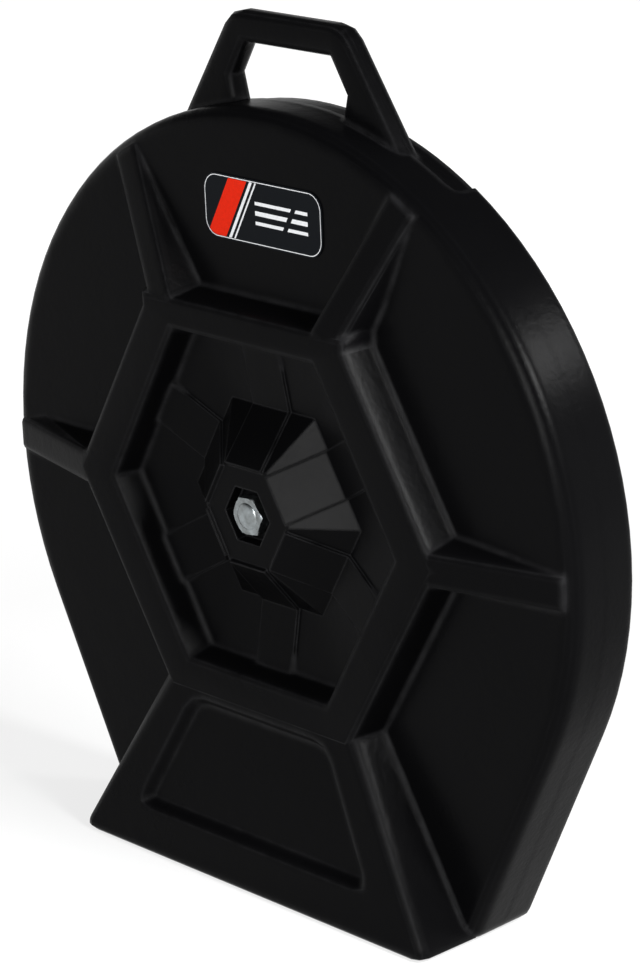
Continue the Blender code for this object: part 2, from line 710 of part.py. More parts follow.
def raised_forms(inset):
    """The ring, the four ribs and the foot, drawn in by the inset, as helper objects."""
    word = "inner" if inset else "outer"
    forms = [add(f"ring_{word}", ring_block(inset), helper=True)]
    for i, angle in enumerate((0, math.pi / 3, 2 * math.pi / 3, math.pi)):
        start = SIDE_RIB_START if i in (0, 3) else UPPER_RIB_START
        forms.append(add(f"rib_{word}_{i}", rib_block(angle, start, inset), helper=True))
    forms.append(add(f"foot_{word}", foot_block(inset), helper=True))
    return forms


def build_cavity():
    """The front shell's inside, which follows the outside one wall thickness in."""
    ledge = SEAT_WALL + LEDGE_WIDTH
    rear_steps = [
        (WALL, LEDGE_DEPTH - LEDGE_THICK - LEDGE_SLOPE),
        (ledge, LEDGE_DEPTH - LEDGE_THICK),
        (ledge, LEDGE_DEPTH),
        (SEAT_WALL, LEDGE_DEPTH),
        (SEAT_WALL, RIM_REAR_DEPTH + CUT_PAST),
    ]
    cavity = add("cavity_form", case_body(WALL, rear_steps), helper=True)
    for form in raised_forms(WALL):
        combine(cavity, form, "UNION")
    combine(cavity, add("recess_wall", recess_void(WALL), helper=True), "DIFFERENCE")
    combine(cavity, add("panel_wall", panel_void(WALL), helper=True), "DIFFERENCE")
    floor = POCKET_FLOOR_DEPTH + POCKET_FLOOR_THICK
    well = skin([hexagon(POCKET_INRADIUS + WALL, depth) for depth in (BOSS_DEPTH + WALL / 2, floor)])
    combine(cavity, add("pocket_wall", well, helper=True), "DIFFERENCE")
    return cavity


def build_front_shell():
    """The deep half of the case: a thin skin that keeps one wall thickness round every raised form."""
    shell = build_outer()
    combine(shell, build_cavity(), "DIFFERENCE")
    pocket = skin(
        [
            hexagon(POCKET_INRADIUS, BOSS_DEPTH - CUT_PAST),
            hexagon(POCKET_INRADIUS, BOSS_DEPTH),
            hexagon(POCKET_FLOOR_INRADIUS, POCKET_FLOOR_DEPTH),
        ]
    )
    combine(shell, add("pocket_cutter", pocket, helper=True), "DIFFERENCE")
    floor = POCKET_FLOOR_DEPTH + POCKET_FLOOR_THICK
    hole = skin([circle(BORE_RADIUS, depth) for depth in (BOSS_DEPTH, floor + CUT_PAST)])
    combine(shell, add("post_hole_cutter", hole, helper=True), "DIFFERENCE")
    paint(shell, SHELL_COLOUR, SHELL_ROUGHNESS)


def lid_drum(inset):
    """The lid's skirt and flat rim flange, drawn in by the inset."""
    reach = SEAT_WALL + GAP + inset
    front = LID_SKIRT_FRONT_DEPTH - (CUT_PAST if inset else 0)
    flange = LID_FLANGE_REAR_DEPTH - inset
    edge = LID_EDGE_ROUND
    return skin([outline(reach, front), outline(reach, flange - edge), outline(reach + edge, flange)])


def lid_field(inset):
    """The raised field of the lid: a drum inside the flange, sloped at its edge."""
    flange = LID_FLANGE_REAR_DEPTH - inset
    field = LID_REAR_DEPTH - inset
    edge = LID_EDGE_ROUND
    start = SEAT_WALL + GAP + LID_FLANGE_WIDTH + inset
    grade = LID_FIELD_SLOPE / (field - flange)
    steps = [
        (start - grade * BURIED, flange - BURIED),
        (start + LID_FIELD_SLOPE - grade * edge, field - edge),
        (start + LID_FIELD_SLOPE + edge, field),
    ]
    return skin([circle(RIM_RADIUS - step, depth, BIG_DISC_STEPS) for step, depth in steps])


def lid_panel(grow):
    """The space behind the lid's sunken hexagonal panel and its central well."""
    steps = [
        (LID_PANEL_INRADIUS + grow, LID_REAR_DEPTH + CUT_PAST),
        (LID_PANEL_INRADIUS + grow, LID_REAR_DEPTH),
        (LID_PANEL_INRADIUS + grow - LID_PANEL_DRAFT, LID_PANEL_DEPTH - grow),
        (LID_WELL_INRADIUS + grow, LID_PANEL_DEPTH - grow),
        (LID_WELL_FLOOR_INRADIUS + grow, LID_WELL_DEPTH - grow),
    ]
    return skin([hexagon(inradius, depth) for inradius, depth in steps])


def build_rear_shell():
    """The lid: a shallow tray that sits on the ledge inside the rim."""
    lid = add("rear_shell", lid_drum(0))
    combine(lid, add("lid_field_outer", lid_field(0), helper=True), "UNION")
    inside = add("lid_inside", lid_drum(WALL), helper=True)
    combine(inside, add("lid_field_inner", lid_field(WALL), helper=True), "UNION")
    combine(inside, add("lid_panel_wall", lid_panel(WALL), helper=True), "DIFFERENCE")
    combine(lid, inside, "DIFFERENCE")
    combine(lid, add("lid_panel_cutter", lid_panel(0), helper=True), "DIFFERENCE")
    hole = skin([circle(LID_HOLE_RADIUS, LID_WELL_DEPTH + side * CUT_PAST) for side in (-1, 1)])
    combine(lid, add("lid_hole_cutter", hole, helper=True), "DIFFERENCE")
    paint(lid, SHELL_COLOUR, SHELL_ROUGHNESS)


def flat_ring(name, hole, radius, front, thick, steps=ROUND_PIECE_STEPS):
    """A flat ring on the post."""
    rear = front + thick
    profile = [(hole, front), (radius, front), (radius, rear), (hole, rear)]
    return add(name, turned(profile, steps), hub_axis(front))


def eased_ring(name, hole, radius, front, thick, edge):
    """A flat ring on the post with both outer edges eased."""
    rear = front + thick
    profile = [
        (hole, front),
        (radius - edge, front),
        (radius, front + edge),
        (radius, rear - edge),
        (radius - edge, rear),
        (hole, rear),
    ]
    return add(name, turned(profile), hub_axis(front))


def hex_loops(inradius, front, thick, both_ends):
    """Loops of a hexagon whose corners are cut by a round chamfer at the front, or at both ends."""
    corner = inradius / math.cos(math.pi / 6)
    face = HEX_FACE_SHARE * inradius
    drop = (corner - face) * math.tan(math.pi / 6)
    rear = front + thick

    def loop(limit, depth):
        points = []
        for i in range(HEX_STEPS):
            angle = 2 * math.pi * i / HEX_STEPS
            flat = inradius / math.cos(angle % (math.pi / 3) - math.pi / 6)
            points.append(on_hub(min(flat, limit), angle + HEAD_TURN, depth))
        return points

    loops = [loop(face, front), loop((face + corner) / 2, front + drop / 2), loop(corner, front + drop)]
    if both_ends:
        return loops + [loop(corner, rear - drop), loop((face + corner) / 2, rear - drop / 2), loop(face, rear)]
    return loops + [loop(corner, rear)]


def build_post(stack):
    """The hex-headed post: a low dome on its head, which sits in the pocket, and its shank to the rear."""
    front = stack["head"]
    rear = front + HEAD_THICK
    dome = DOME_SHARE * HEAD_INRADIUS
    loops = []
    for angle in arc(math.pi / 8, math.pi / 2, DOME_STEPS):
        loops.append(circle(dome * math.sin(angle), front - DOME_RISE * math.cos(angle), HEX_STEPS))
    loops += hex_loops(HEAD_INRADIUS, front, HEAD_THICK, False)
    loops += [circle(POST_RADIUS, depth, HEX_STEPS) for depth in (rear, POST_REAR_DEPTH - POST_TIP)]
    loops += [circle(POST_RADIUS - POST_TIP, POST_REAR_DEPTH, HEX_STEPS)]
    post = add("centre_post", skin(loops), hub_axis(front))
    paint(post, ZINC_COLOUR, ZINC_ROUGHNESS, 1)


def build_clamp(stack):
    """The pieces that clamp the post to the pocket's floor."""
    front = stack["head_washer"]
    front_washer = flat_ring("head_washer", BORE_RADIUS, HEAD_WASHER_RADIUS, front, HEAD_WASHER_THICK)
    front = stack["clamp_washer"]
    rear_washer = flat_ring("clamp_washer", BORE_RADIUS, CLAMP_WASHER_RADIUS, front, CLAMP_WASHER_THICK)
    front = stack["lock_washer"]
    split = LOCK_SPLIT / LOCK_WASHER_RADIUS
    loops = []
    for angle in arc(split, 2 * math.pi - split, ROUND_PIECE_STEPS):
        corners = [
            (BORE_RADIUS, front),
            (LOCK_WASHER_RADIUS, front),
            (LOCK_WASHER_RADIUS, front + LOCK_WASHER_THICK),
            (BORE_RADIUS, front + LOCK_WASHER_THICK),
        ]
        loops.append([on_hub(radius, angle, depth) for radius, depth in corners])
    lock = add("lock_washer", skin(loops), hub_axis(front))
    front = stack["clamp_nut"]
    loops = hex_loops(NUT_INRADIUS, front, NUT_THICK, True)
    loops += [circle(BORE_RADIUS, depth, HEX_STEPS) for depth in (front + NUT_THICK, front)]
    nut = add("clamp_nut", skin(loops, closed=True), hub_axis(front))
    for piece in (front_washer, rear_washer, lock, nut):
        paint(piece, ZINC_COLOUR, ZINC_ROUGHNESS, 1)


def build_stack(stack):
    """The sleeve and what is threaded over it: felts and divider discs."""
    front = stack["post_sleeve"]
    sleeve = flat_ring("post_sleeve", BORE_RADIUS, SLEEVE_RADIUS, front, stack["cup_washer"] - GAP - front)
    paint(sleeve, NYLON_COLOUR, NYLON_ROUGHNESS)
    front_thick = stack["front_pad"] + PAD_THICK - stack["front_felt"]
    for name, thick in (("front_felt", front_thick), ("rear_felt", REAR_FELT_THICK)):
        felt = eased_ring(name, ON_SLEEVE_RADIUS, FELT_RADIUS, stack[name], thick, FELT_EDGE)
        paint(felt, FELT_COLOUR, SOFT_ROUGHNESS)
    for i in range(DIVIDER_COUNT):
        name = f"divider_{i + 1}"
        disc = flat_ring(name, ON_SLEEVE_RADIUS, DIVIDER_RADIUS, stack[name], DIVIDER_THICK, BIG_DISC_STEPS)
        paint(disc, FELT_COLOUR, SOFT_ROUGHNESS)


def wing(angle, front):
    """One wing of the wing nut: a thin plate that rises outwards."""
    low = front + WING_ROOT_RISE
    knee_share, tip_share, crest_share = WING_SHARES
    section = [
        (WING_ROOT_RADIUS, low),
        (knee_share * WING_SPAN, low + (1 - tip_share) * WING_TIP_RISE),
        (WING_SPAN, low + tip_share * WING_TIP_RISE),
        (WING_SPAN, low + WING_TIP_RISE),
        (crest_share * WING_SPAN, low + WING_TIP_RISE),
        (WING_ROOT_RADIUS, front + WING_HUB_LENGTH - WING_ROOT_RISE),
    ]
    return radial_prism(section, WING_THICK / 2, angle)


def build_wing_nut(stack):
    """The cup washer and wing nut that hold the cymbals on the post."""
    cup = flat_ring("cup_washer", BORE_RADIUS, CUP_RADIUS, stack["cup_washer"], CUP_THICK)
    paint(cup, ZINC_COLOUR, ZINC_ROUGHNESS, 1)
    front = stack["wing_nut"]
    rear = front + WING_HUB_LENGTH
    profile = [(BORE_RADIUS, front), (WING_HUB_RADIUS, front), (WING_HUB_TIP_RADIUS, rear), (BORE_RADIUS, rear)]
    nut = add("wing_nut", turned(profile), hub_axis(front))
    for i, angle in enumerate((0, math.pi)):
        combine(nut, add(f"wing_form_{i}", wing(angle, front), helper=True), "UNION")
    paint(nut, ZINC_COLOUR, ZINC_ROUGHNESS, 1)


def outline_ring(name, inset, hole, front, thick):
    """A flat sheet with the case's outline; the hole is a radius, or None for a ring of even width."""
    loops = []
    for depth in (front, front + thick):
        rim = outline(inset, depth)
        if hole is None:
            inner = outline(inset + SEAL_WIDTH, depth)
        else:
            hub = on_hub(0, 0, depth)
            inner = [hub + hole * (point - hub).normalized() for point in rim]
        loops.append((rim, inner))
    (front_rim, front_inner), (rear_rim, rear_inner) = loops
    return add(name, skin([front_rim, rear_rim, rear_inner, front_inner], closed=True))


def build_pads(stack):
    """Foam on the front wall and on the lid's panel, and the rubber seal on the ledge."""
    front_pad = outline_ring("front_pad", FRONT_PAD_INSET, FRONT_PAD_HOLE, stack["front_pad"], PAD_THICK)
    front = stack["rear_pad"]
    rear_pad = flat_ring("rear_pad", REAR_PAD_HOLE, REAR_PAD_RADIUS, front, PAD_THICK, BIG_DISC_STEPS)
    for pad in (front_pad, rear_pad):
        paint(pad, FOAM_COLOUR, SOFT_ROUGHNESS)
    front = LEDGE_DEPTH + GAP
    seal = outline_ring("lid_seal", SEAT_WALL + GAP, None, front, LID_SKIRT_FRONT_DEPTH - GAP - front)
    paint(seal, RUBBER_COLOUR, SOFT_ROUGHNESS)


def knob_loop(radius, lobe, depth):
    """A round loop with even lobes."""
    points = []
    for i in range(KNOB_STEPS):
        angle = 2 * math.pi * i / KNOB_STEPS
        points.append(on_hub(radius + lobe * math.cos(KNOB_LOBES * angle), angle, depth))
    return points


def build_knob(stack):
    """The lobed knob and the threaded insert moulded into it."""
    front = stack["lid_knob"]
    rear = LID_REAR_DEPTH
    body = front + KNOB_COLLAR
    edge = KNOB_EDGE
    loops = [
        knob_loop(KNOB_COLLAR_RADIUS, 0, front),
        knob_loop(KNOB_COLLAR_RADIUS, 0, body),
        knob_loop(KNOB_RADIUS - KNOB_LOBE - edge, KNOB_LOBE, body),
        knob_loop(KNOB_RADIUS - KNOB_LOBE, KNOB_LOBE, body + edge),
        knob_loop(KNOB_RADIUS - KNOB_LOBE, KNOB_LOBE, rear - edge),
        knob_loop(KNOB_RADIUS - KNOB_LOBE - edge, KNOB_LOBE, rear),
        knob_loop(INSERT_RADIUS + GAP, 0, rear),
        knob_loop(INSERT_RADIUS + GAP, 0, front),
    ]
    knob = add("lid_knob", skin(loops, closed=True), hub_axis(front))
    paint(knob, KNOB_COLOUR, SHELL_ROUGHNESS)
    insert = flat_ring("knob_insert", BORE_RADIUS, INSERT_RADIUS, front, rear - front)
    paint(insert, BRASS_COLOUR, ZINC_ROUGHNESS, 1)


def build_lid_fittings(stack):
    """The bush in the lid's hole and the washer behind it."""
    front = stack["lid_bush"]
    shoulder = front + BUSH_FLANGE_THICK
    profile = [
        (BORE_RADIUS, front),
        (BUSH_FLANGE_RADIUS, front),
        (BUSH_FLANGE_RADIUS, shoulder),
        (LID_HOLE_RADIUS - GAP, shoulder),
        (LID_HOLE_RADIUS - GAP, LID_WELL_DEPTH),
        (BORE_RADIUS, LID_WELL_DEPTH),
    ]
    bush = add("lid_bush", turned(profile), hub_axis(front))
    paint(bush, NYLON_COLOUR, NYLON_ROUGHNESS)
    ring = flat_ring("lid_washer", BORE_RADIUS, LID_WASHER_RADIUS, stack["lid_washer"], LID_WASHER_THICK)
    paint(ring, ZINC_COLOUR, ZINC_ROUGHNESS, 1)


def build_nameplate():
    """A blank plate with round corners on the field above the ring."""
    loops = []
    for depth in (FIELD_DEPTH - GAP - PLATE_THICK, FIELD_DEPTH - GAP):
        loop = []
        for turn, across, up in ((0, 1, 1), (1, -1, 1), (2, -1, -1), (3, 1, -1)):
            middle_x = PLATE_X + across * (PLATE_HALF_WIDTH - PLATE_CORNER)
            middle_z = PLATE_Z + up * (PLATE_HALF_HEIGHT - PLATE_CORNER)
            for angle in arc(turn * math.pi / 2, (turn + 1) * math.pi / 2, PLATE_CORNER_STEPS):
                x = middle_x + PLATE_CORNER * math.cos(angle)
                loop.append(at(x, depth, middle_z + PLATE_CORNER * math.sin(angle)))
        loops.append(loop)
    plate = add("nameplate", skin(loops))
    paint(plate, PLATE_COLOUR, NYLON_ROUGHNESS)


def stack_depths():
    """Front depth of every piece on the post, each one gap behind the piece in front of it."""
    stack = {}
    stack["head_washer"] = POCKET_FLOOR_DEPTH - GAP - HEAD_WASHER_THICK
    stack["head"] = stack["head_washer"] - GAP - HEAD_THICK
    depth = POCKET_FLOOR_DEPTH + POCKET_FLOOR_THICK + GAP
    rows = [
        ("clamp_washer", CLAMP_WASHER_THICK),
        ("lock_washer", LOCK_WASHER_THICK),
        ("clamp_nut", NUT_THICK),
    ]
    for name, thick in rows:
        stack[name] = depth
        depth += thick + GAP
    stack["post_sleeve"] = depth
    stack["front_pad"] = FIELD_DEPTH + WALL + GAP
    stack["front_felt"] = stack["post_sleeve"]
    depth = stack["front_pad"] + PAD_THICK + GAP
    rows = [(f"divider_{i + 1}", DIVIDER_THICK) for i in range(DIVIDER_COUNT)]
    rows += [("rear_felt", REAR_FELT_THICK), ("cup_washer", CUP_THICK), ("wing_nut", WING_HUB_LENGTH)]
    for name, thick in rows:
        stack[name] = depth
        depth += thick + GAP
    stack["rear_pad"] = LID_PANEL_DEPTH - WALL - GAP - PAD_THICK
    stack["lid_bush"] = LID_WELL_DEPTH - WALL - GAP - BUSH_FLANGE_THICK
    stack["lid_washer"] = LID_WELL_DEPTH + GAP
    stack["lid_knob"] = stack["lid_washer"] + LID_WASHER_THICK + GAP
    return stack


def main():
    for old in list(bpy.data.objects):
        bpy.data.objects.remove(old)
    stack = stack_depths()
    build_front_shell()
    build_rear_shell()
    build_post(stack)
    build_clamp(stack)
    build_stack(stack)
    build_wing_nut(stack)
    build_pads(stack)
    build_lid_fittings(stack)
    build_knob(stack)
    build_nameplate()


main()
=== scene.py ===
import math

import bmesh
import bpy
from mathutils import Matrix, Vector, noise


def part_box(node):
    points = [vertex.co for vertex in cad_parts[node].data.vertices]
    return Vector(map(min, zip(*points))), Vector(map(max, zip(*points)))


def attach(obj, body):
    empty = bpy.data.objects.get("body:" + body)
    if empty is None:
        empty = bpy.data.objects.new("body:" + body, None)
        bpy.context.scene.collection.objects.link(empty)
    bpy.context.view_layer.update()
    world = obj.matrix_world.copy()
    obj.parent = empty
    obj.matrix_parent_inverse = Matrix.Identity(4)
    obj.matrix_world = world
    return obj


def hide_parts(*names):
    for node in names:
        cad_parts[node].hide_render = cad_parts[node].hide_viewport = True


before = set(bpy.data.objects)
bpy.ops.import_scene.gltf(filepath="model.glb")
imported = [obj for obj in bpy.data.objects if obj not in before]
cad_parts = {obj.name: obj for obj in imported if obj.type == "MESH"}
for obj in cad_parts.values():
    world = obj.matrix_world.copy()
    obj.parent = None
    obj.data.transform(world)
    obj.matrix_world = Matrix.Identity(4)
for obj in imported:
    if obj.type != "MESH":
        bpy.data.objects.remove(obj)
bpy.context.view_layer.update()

# Lengths are in metres, apart from the camera's sensor, which is in millimetres.

# Camera, fitted to the photograph's frame; angles in radians
FRAME_PX = (640, 975)
FOCAL_PX = 3500
SENSOR = 36
VIEW_YAW = 0.8173
VIEW_PITCH = 0.3217
VIEW_ROLL = -0.0414
TARGET = Vector((0, -0.001, 0.33))
TARGET_PX = (283.85, 468.9)
TARGET_DISTANCE = 2.6441
CLIP_END = 200

# The case's outline, and the height of the stack's axis
RIM_RADIUS = 0.305
CORNER_RADIUS = 0.016
CORNER_X = 0.184
HUB_Z = 0.3025

# The bolt on the stack's axis. The CAD's shank is what stands more than HEAD_REACH behind the top
# of the dome, and within POST_RADIUS and SHANK_SLACK of the axis. The threaded one starts
# SHANK_OVERLAP inside the head, with THREAD_SIDES round it and THREAD_ROWS to a turn of the thread.
POST_RADIUS = 0.0039
POST_TIP = 0.001
HEAD_REACH = 0.008
SHANK_SLACK = 0.0001
SHANK_OVERLAP = 0.0005
THREAD_PITCH = 0.00125
THREAD_DEPTH = 0.0006
THREAD_SIDES = 24
THREAD_ROWS = 8

# Radii by which the finishes round the edges, and the distances from the stack's axis between which
# the hub's radius gives way to the shell's
SHELL_EDGE = 0.008
HUB_EDGE = 0.0026
LID_EDGE = 0.004
KNOB_EDGE = 0.0012
METAL_EDGE = 0.0006
THREAD_EDGE = 0.0003
PRINT_EDGE = 0.0003
HUB_BLEND = (0.112, 0.122)

# Edges that turn by more degrees than this stay sharp
SHELL_CREASE = 31
CREASE = 38

# Vertices closer than this are joined: in every smoothed piece, and in the bolt's head
WELD = 0.00002
HEAD_WELD = 0.00001

# Soft pieces: distances from the stack's axis, and insets from the case's outline
SLEEVE_HOLE = 0.0064
FELT_RADIUS = 0.0199
DIVIDER_RADIUS = 0.2778
FRONT_PAD_INSET = 0.0142
FRONT_PAD_HOLE = 0.1242
REAR_PAD_HOLE = 0.0702
REAR_PAD_RADIUS = 0.1398
SEAL_OUTER_INSET = 0.0074
SEAL_INNER_INSET = 0.0117

# The radius of a soft piece's edges, how far its faces dip, and how far they ripple; then the
# ripples' counts a metre along each axis
FELT_SOFTNESS = (0.0016, 0.0006, 0.0003)
DIVIDER_SOFTNESS = (0.0011, 0.0, 0.0005)
PAD_SOFTNESS = (0.0018, 0.0004, 0.0004)
SEAL_SOFTNESS = (0.0008, 0.0, 0.0001)
BROAD_RIPPLE = (9, 3, 9)
FINE_RIPPLE = (160, 160, 160)

# The plate's print. Most pairs give a mark's middle and width: past the plate's edge (BORDER), up
# from its middle (OUTER_BARS, MIDDLE_BAR) or across from it. INSIDE_BORDER gives the distances past
# the edge between which the marks inside the border come in.
PLATE_CORNER = 0.014
PRINT_BLUR = 0.00008
PRINT_SLANT = 0.55
BORDER = (-0.0016, 0.0006)
INSIDE_BORDER = (-0.0022, -0.0024)
RED_BAND = (-0.038, 0.020)
WIDE_STRIPE = (-0.0235, 0.0030)
THIN_STRIPE = (-0.0185, 0.0016)
OUTER_BARS = (0.0075, 0.0026)
MIDDLE_BAR = (0.0, 0.0034)
BARS_SPAN = (0.0205, 0.0560)
BARS_NOTCH = (0.0290, 0.0050)

# Light. The floor's glow is seen by the camera and in reflections, and grows with distance.
FLOOR_HALF = 30.0
FLOOR_DROP = 0.0005
FLOOR_COLOUR = (0.32, 0.32, 0.32)
GLOW_DISTANCES = (0.7, 1.6)
GLOW_LEVELS = (0.68, 0.92)
WORLD_LEVEL = 0.3
SKY_HEIGHTS = (0.16, 0.34)
SKY_LEVELS = (1.0, 0.04)
# Each soft box's name, azimuth, elevation, distance, size and level
LAMPS = (
    ("right", 92, 33, 2.4, (0.6, 0.5), 1.35),
    ("front_right", 25, 15, 1.9, (0.42, 0.8), 0.8),
    ("rear_right", 136, 29, 2.4, (0.45, 0.45), 0.3),
)

# Colours, linear
SHELL = (0.0016, 0.0016, 0.0018)
# Pale edge colour of the moulded plastic: partly wear, partly a painted highlight along its edges
PLASTIC_WORN_AND_HIGHLIGHT = (0.015, 0.015, 0.016)
KNOB = (0.008, 0.008, 0.0085)
ZINC = (0.3, 0.33, 0.34)
ZINC_DULL = (0.17, 0.18, 0.18)
BRASS = (0.65, 0.47, 0.2)
BRASS_DULL = (0.5, 0.36, 0.15)
NYLON = (0.62, 0.6, 0.54)
FELT = (0.03, 0.03, 0.034)
FELT_STRAYS = (0.14, 0.14, 0.15)
FOAM = (0.022, 0.022, 0.024)
RUBBER = (0.012, 0.012, 0.012)
PLATE_BLACK = (0.0035, 0.0045, 0.006)
PLATE_RED = (0.72, 0.022, 0.006)
PLATE_WHITE = (0.82, 0.83, 0.85)


def shade(factor, colour):
    """A colour, lighter or darker by the factor."""
    return tuple(factor * c for c in colour)


class Tree:
    """Short names for the nodes of one material.

    Scales are counts a metre. A range maps low and high to to_low and to_high, and holds at both.
    """

    def __init__(self, name):
        self.material = bpy.data.materials.new(name)
        self.material.use_nodes = True
        self.nodes = self.material.node_tree.nodes
        self.links = self.material.node_tree.links
        self.shader = self.nodes["Principled BSDF"]
        self.where = self.nodes.new("ShaderNodeTexCoord").outputs["Object"]

    def put(self, value, socket):
        if isinstance(value, bpy.types.NodeSocket):
            self.links.new(value, socket)
        elif value is not None:
            socket.default_value = value

    def set(self, **values):
        """Sets or links the shader's sockets."""
        for key, value in values.items():
            socket = self.shader.inputs[key.replace("_", " ")]
            if isinstance(value, tuple) and len(value) == 3:
                value = (*value, 1)
            self.put(value, socket)

    def math(self, operation, a, b=None):
        node = self.nodes.new("ShaderNodeMath")
        node.operation = operation
        for value, socket in zip((a, b), node.inputs):
            self.put(value, socket)
        return node.outputs[0]

    def vector(self, operation, a, b=None):
        node = self.nodes.new("ShaderNodeVectorMath")
        node.operation = operation
        for value, socket in zip((a, b), node.inputs):
            self.put(value, socket)
        return node.outputs["Value" if operation in ("LENGTH", "DOT_PRODUCT") else "Vector"]

    def split(self, vector):
        node = self.nodes.new("ShaderNodeSeparateXYZ")
        self.put(vector, node.inputs[0])
        return node.outputs

    def join(self, x, y, z):
        node = self.nodes.new("ShaderNodeCombineXYZ")
        for value, socket in zip((x, y, z), node.inputs):
            self.put(value, socket)
        return node.outputs[0]

    def noise(self, scale, detail=3.0, roughness=0.5, where=None):
        node = self.nodes.new("ShaderNodeTexNoise")
        node.inputs["Scale"].default_value = scale
        node.inputs["Detail"].default_value = detail
        node.inputs["Roughness"].default_value = roughness
        self.put(where or self.where, node.inputs["Vector"])
        return node.outputs["Fac"]

    def cells(self, scale):
        node = self.nodes.new("ShaderNodeTexVoronoi")
        node.inputs["Scale"].default_value = scale
        self.put(self.where, node.inputs["Vector"])
        return node.outputs["Distance"]

    def range(self, value, low, high, to_low=0.0, to_high=1.0):
        node = self.nodes.new("ShaderNodeMapRange")
        for socket, number in zip(node.inputs, (value, low, high, to_low, to_high)):
            self.put(number, socket)
        return node.outputs[0]

    def mix(self, share, a, b):
        node = self.nodes.new("ShaderNodeMix")
        node.data_type = "RGBA"
        self.put(share, node.inputs[0])
        for value, socket in ((a, node.inputs[6]), (b, node.inputs[7])):
            self.put((*value, 1) if isinstance(value, tuple) else value, socket)
        return node.outputs[2]

    def bump(self, height, distance, strength, normal=None):
        node = self.nodes.new("ShaderNodeBump")
        node.inputs["Strength"].default_value = strength
        node.inputs["Distance"].default_value = distance
        self.put(height, node.inputs["Height"])
        self.put(normal, node.inputs["Normal"])
        return node.outputs[0]

    def rounded(self, radius, samples=6):
        node = self.nodes.new("ShaderNodeBevel")
        node.samples = samples
        self.put(radius, node.inputs["Radius"])
        return node.outputs[0]


def moulded_plastic(name, colour, edge_radius, hub_edge=None, specular=0.028):
    """Satin rotationally moulded plastic: soft orange peel, cloudy gloss and faintly worn edges.
    The pale colour on every eased edge, hollow ones too, is partly wear and partly a painted
    highlight.

    The edges are rounded by edge_radius, and near the stack's axis by hub_edge.
    """
    t = Tree(name)
    clouds = t.noise(7.0, detail=4.0, roughness=0.6)
    radius = edge_radius
    if hub_edge:
        x, _, z = t.split(t.where)
        from_axis = t.vector("LENGTH", t.join(x, 0.0, t.math("SUBTRACT", z, HUB_Z)))
        radius = t.range(from_axis, *HUB_BLEND, hub_edge, edge_radius)
    soft = t.rounded(radius)
    flat = t.nodes.new("ShaderNodeNewGeometry").outputs["True Normal"]
    turn = t.math("SUBTRACT", 1.0, t.vector("DOT_PRODUCT", soft, flat))
    patches = t.range(t.noise(55.0, detail=5.0, roughness=0.7), 0.3, 0.6, 0.25, 1.0)
    # Painted highlight, partly wear: every eased edge, hollow fillets as well as corners, takes the
    # pale edge colour and a little more gloss
    edge_wear_and_highlight = t.math("MULTIPLY", t.range(turn, 0.02, 0.16), patches)
    stretch = (18.0, 18.0, 160.0)
    stretched = [t.math("MULTIPLY", axis, k) for axis, k in zip(t.split(t.where), stretch)]
    streaks = t.noise(3.0, detail=6.0, roughness=0.75, where=t.join(*stretched))
    scratches = t.range(streaks, 0.66, 0.74)
    marks = t.math("MAXIMUM", edge_wear_and_highlight, t.math("MULTIPLY", scratches, 0.2))
    satin = t.range(clouds, 0.3, 0.7, 0.26, 0.32)
    t.set(
        Base_Color=t.mix(marks, t.mix(clouds, colour, shade(1.5, colour)), PLASTIC_WORN_AND_HIGHLIGHT),
        Roughness=t.math("ADD", satin, t.math("MULTIPLY", marks, 0.15)),
        Specular_IOR_Level=t.math("ADD", specular, t.math("MULTIPLY", edge_wear_and_highlight, 0.05)),
    )
    waves = t.math("MULTIPLY", t.noise(48.0, detail=2.0), 1.6)
    peel = t.math("ADD", t.noise(260.0, detail=2.0), waves)
    t.set(Normal=t.bump(peel, distance=0.00025, strength=0.5, normal=soft))
    return t.material


def zinc(name, edge_radius=METAL_EDGE):
    """Bright zinc plate, mottled and a little dull."""
    t = Tree(name)
    mottle = t.noise(420.0, detail=5.0, roughness=0.65)
    blotch = t.noise(120.0, detail=3.0)
    t.set(
        Base_Color=t.mix(t.range(blotch, 0.35, 0.65), ZINC, ZINC_DULL),
        Roughness=t.range(mottle, 0.3, 0.7, 0.24, 0.42),
        Metallic=1.0,
    )
    height = t.math("MULTIPLY", mottle, 0.2)
    soft = t.rounded(edge_radius, samples=4)
    t.set(Normal=t.bump(height, distance=0.0003, strength=0.6, normal=soft))
    return t.material


def brass(name):
    """Turned brass, slightly uneven."""
    t = Tree(name)
    rings = t.noise(900.0, detail=3.0)
    t.set(
        Base_Color=t.mix(rings, BRASS, BRASS_DULL),
        Roughness=t.range(rings, 0.3, 0.7, 0.2, 0.36),
        Metallic=1.0,
        Normal=t.bump(rings, distance=0.0001, strength=0.4),
    )
    return t.material


def nylon(name):
    """Natural nylon, waxy and a little translucent."""
    t = Tree(name)
    grain = t.noise(600.0, detail=3.0)
    t.set(
        Base_Color=t.mix(t.noise(60.0), NYLON, shade(0.82, NYLON)),
        Roughness=t.range(grain, 0.3, 0.7, 0.38, 0.52),
        Subsurface_Weight=0.08,
        Subsurface_Scale=0.002,
        Normal=t.bump(grain, distance=0.0001, strength=0.4),
    )
    return t.material


def felt(name):
    """Pressed wool felt: matted fibres in every direction, with paler stray fibres."""
    t = Tree(name)
    mat = t.noise(700.0, detail=6.0, roughness=0.75)
    fibres = t.noise(2600.0, detail=3.0, roughness=0.7)
    strays = t.range(t.noise(340.0, detail=6.0, roughness=0.85), 0.6, 0.75)
    nap = t.math("ADD", mat, t.math("MULTIPLY", fibres, 0.5))
    t.set(
        Base_Color=t.mix(strays, t.mix(mat, FELT, shade(1.7, FELT)), FELT_STRAYS),
        Roughness=0.97,
        Specular_IOR_Level=0.1,
        Sheen_Weight=0.35,
        Sheen_Roughness=0.5,
        Normal=t.bump(nap, distance=0.0008, strength=0.8),
    )
    return t.material


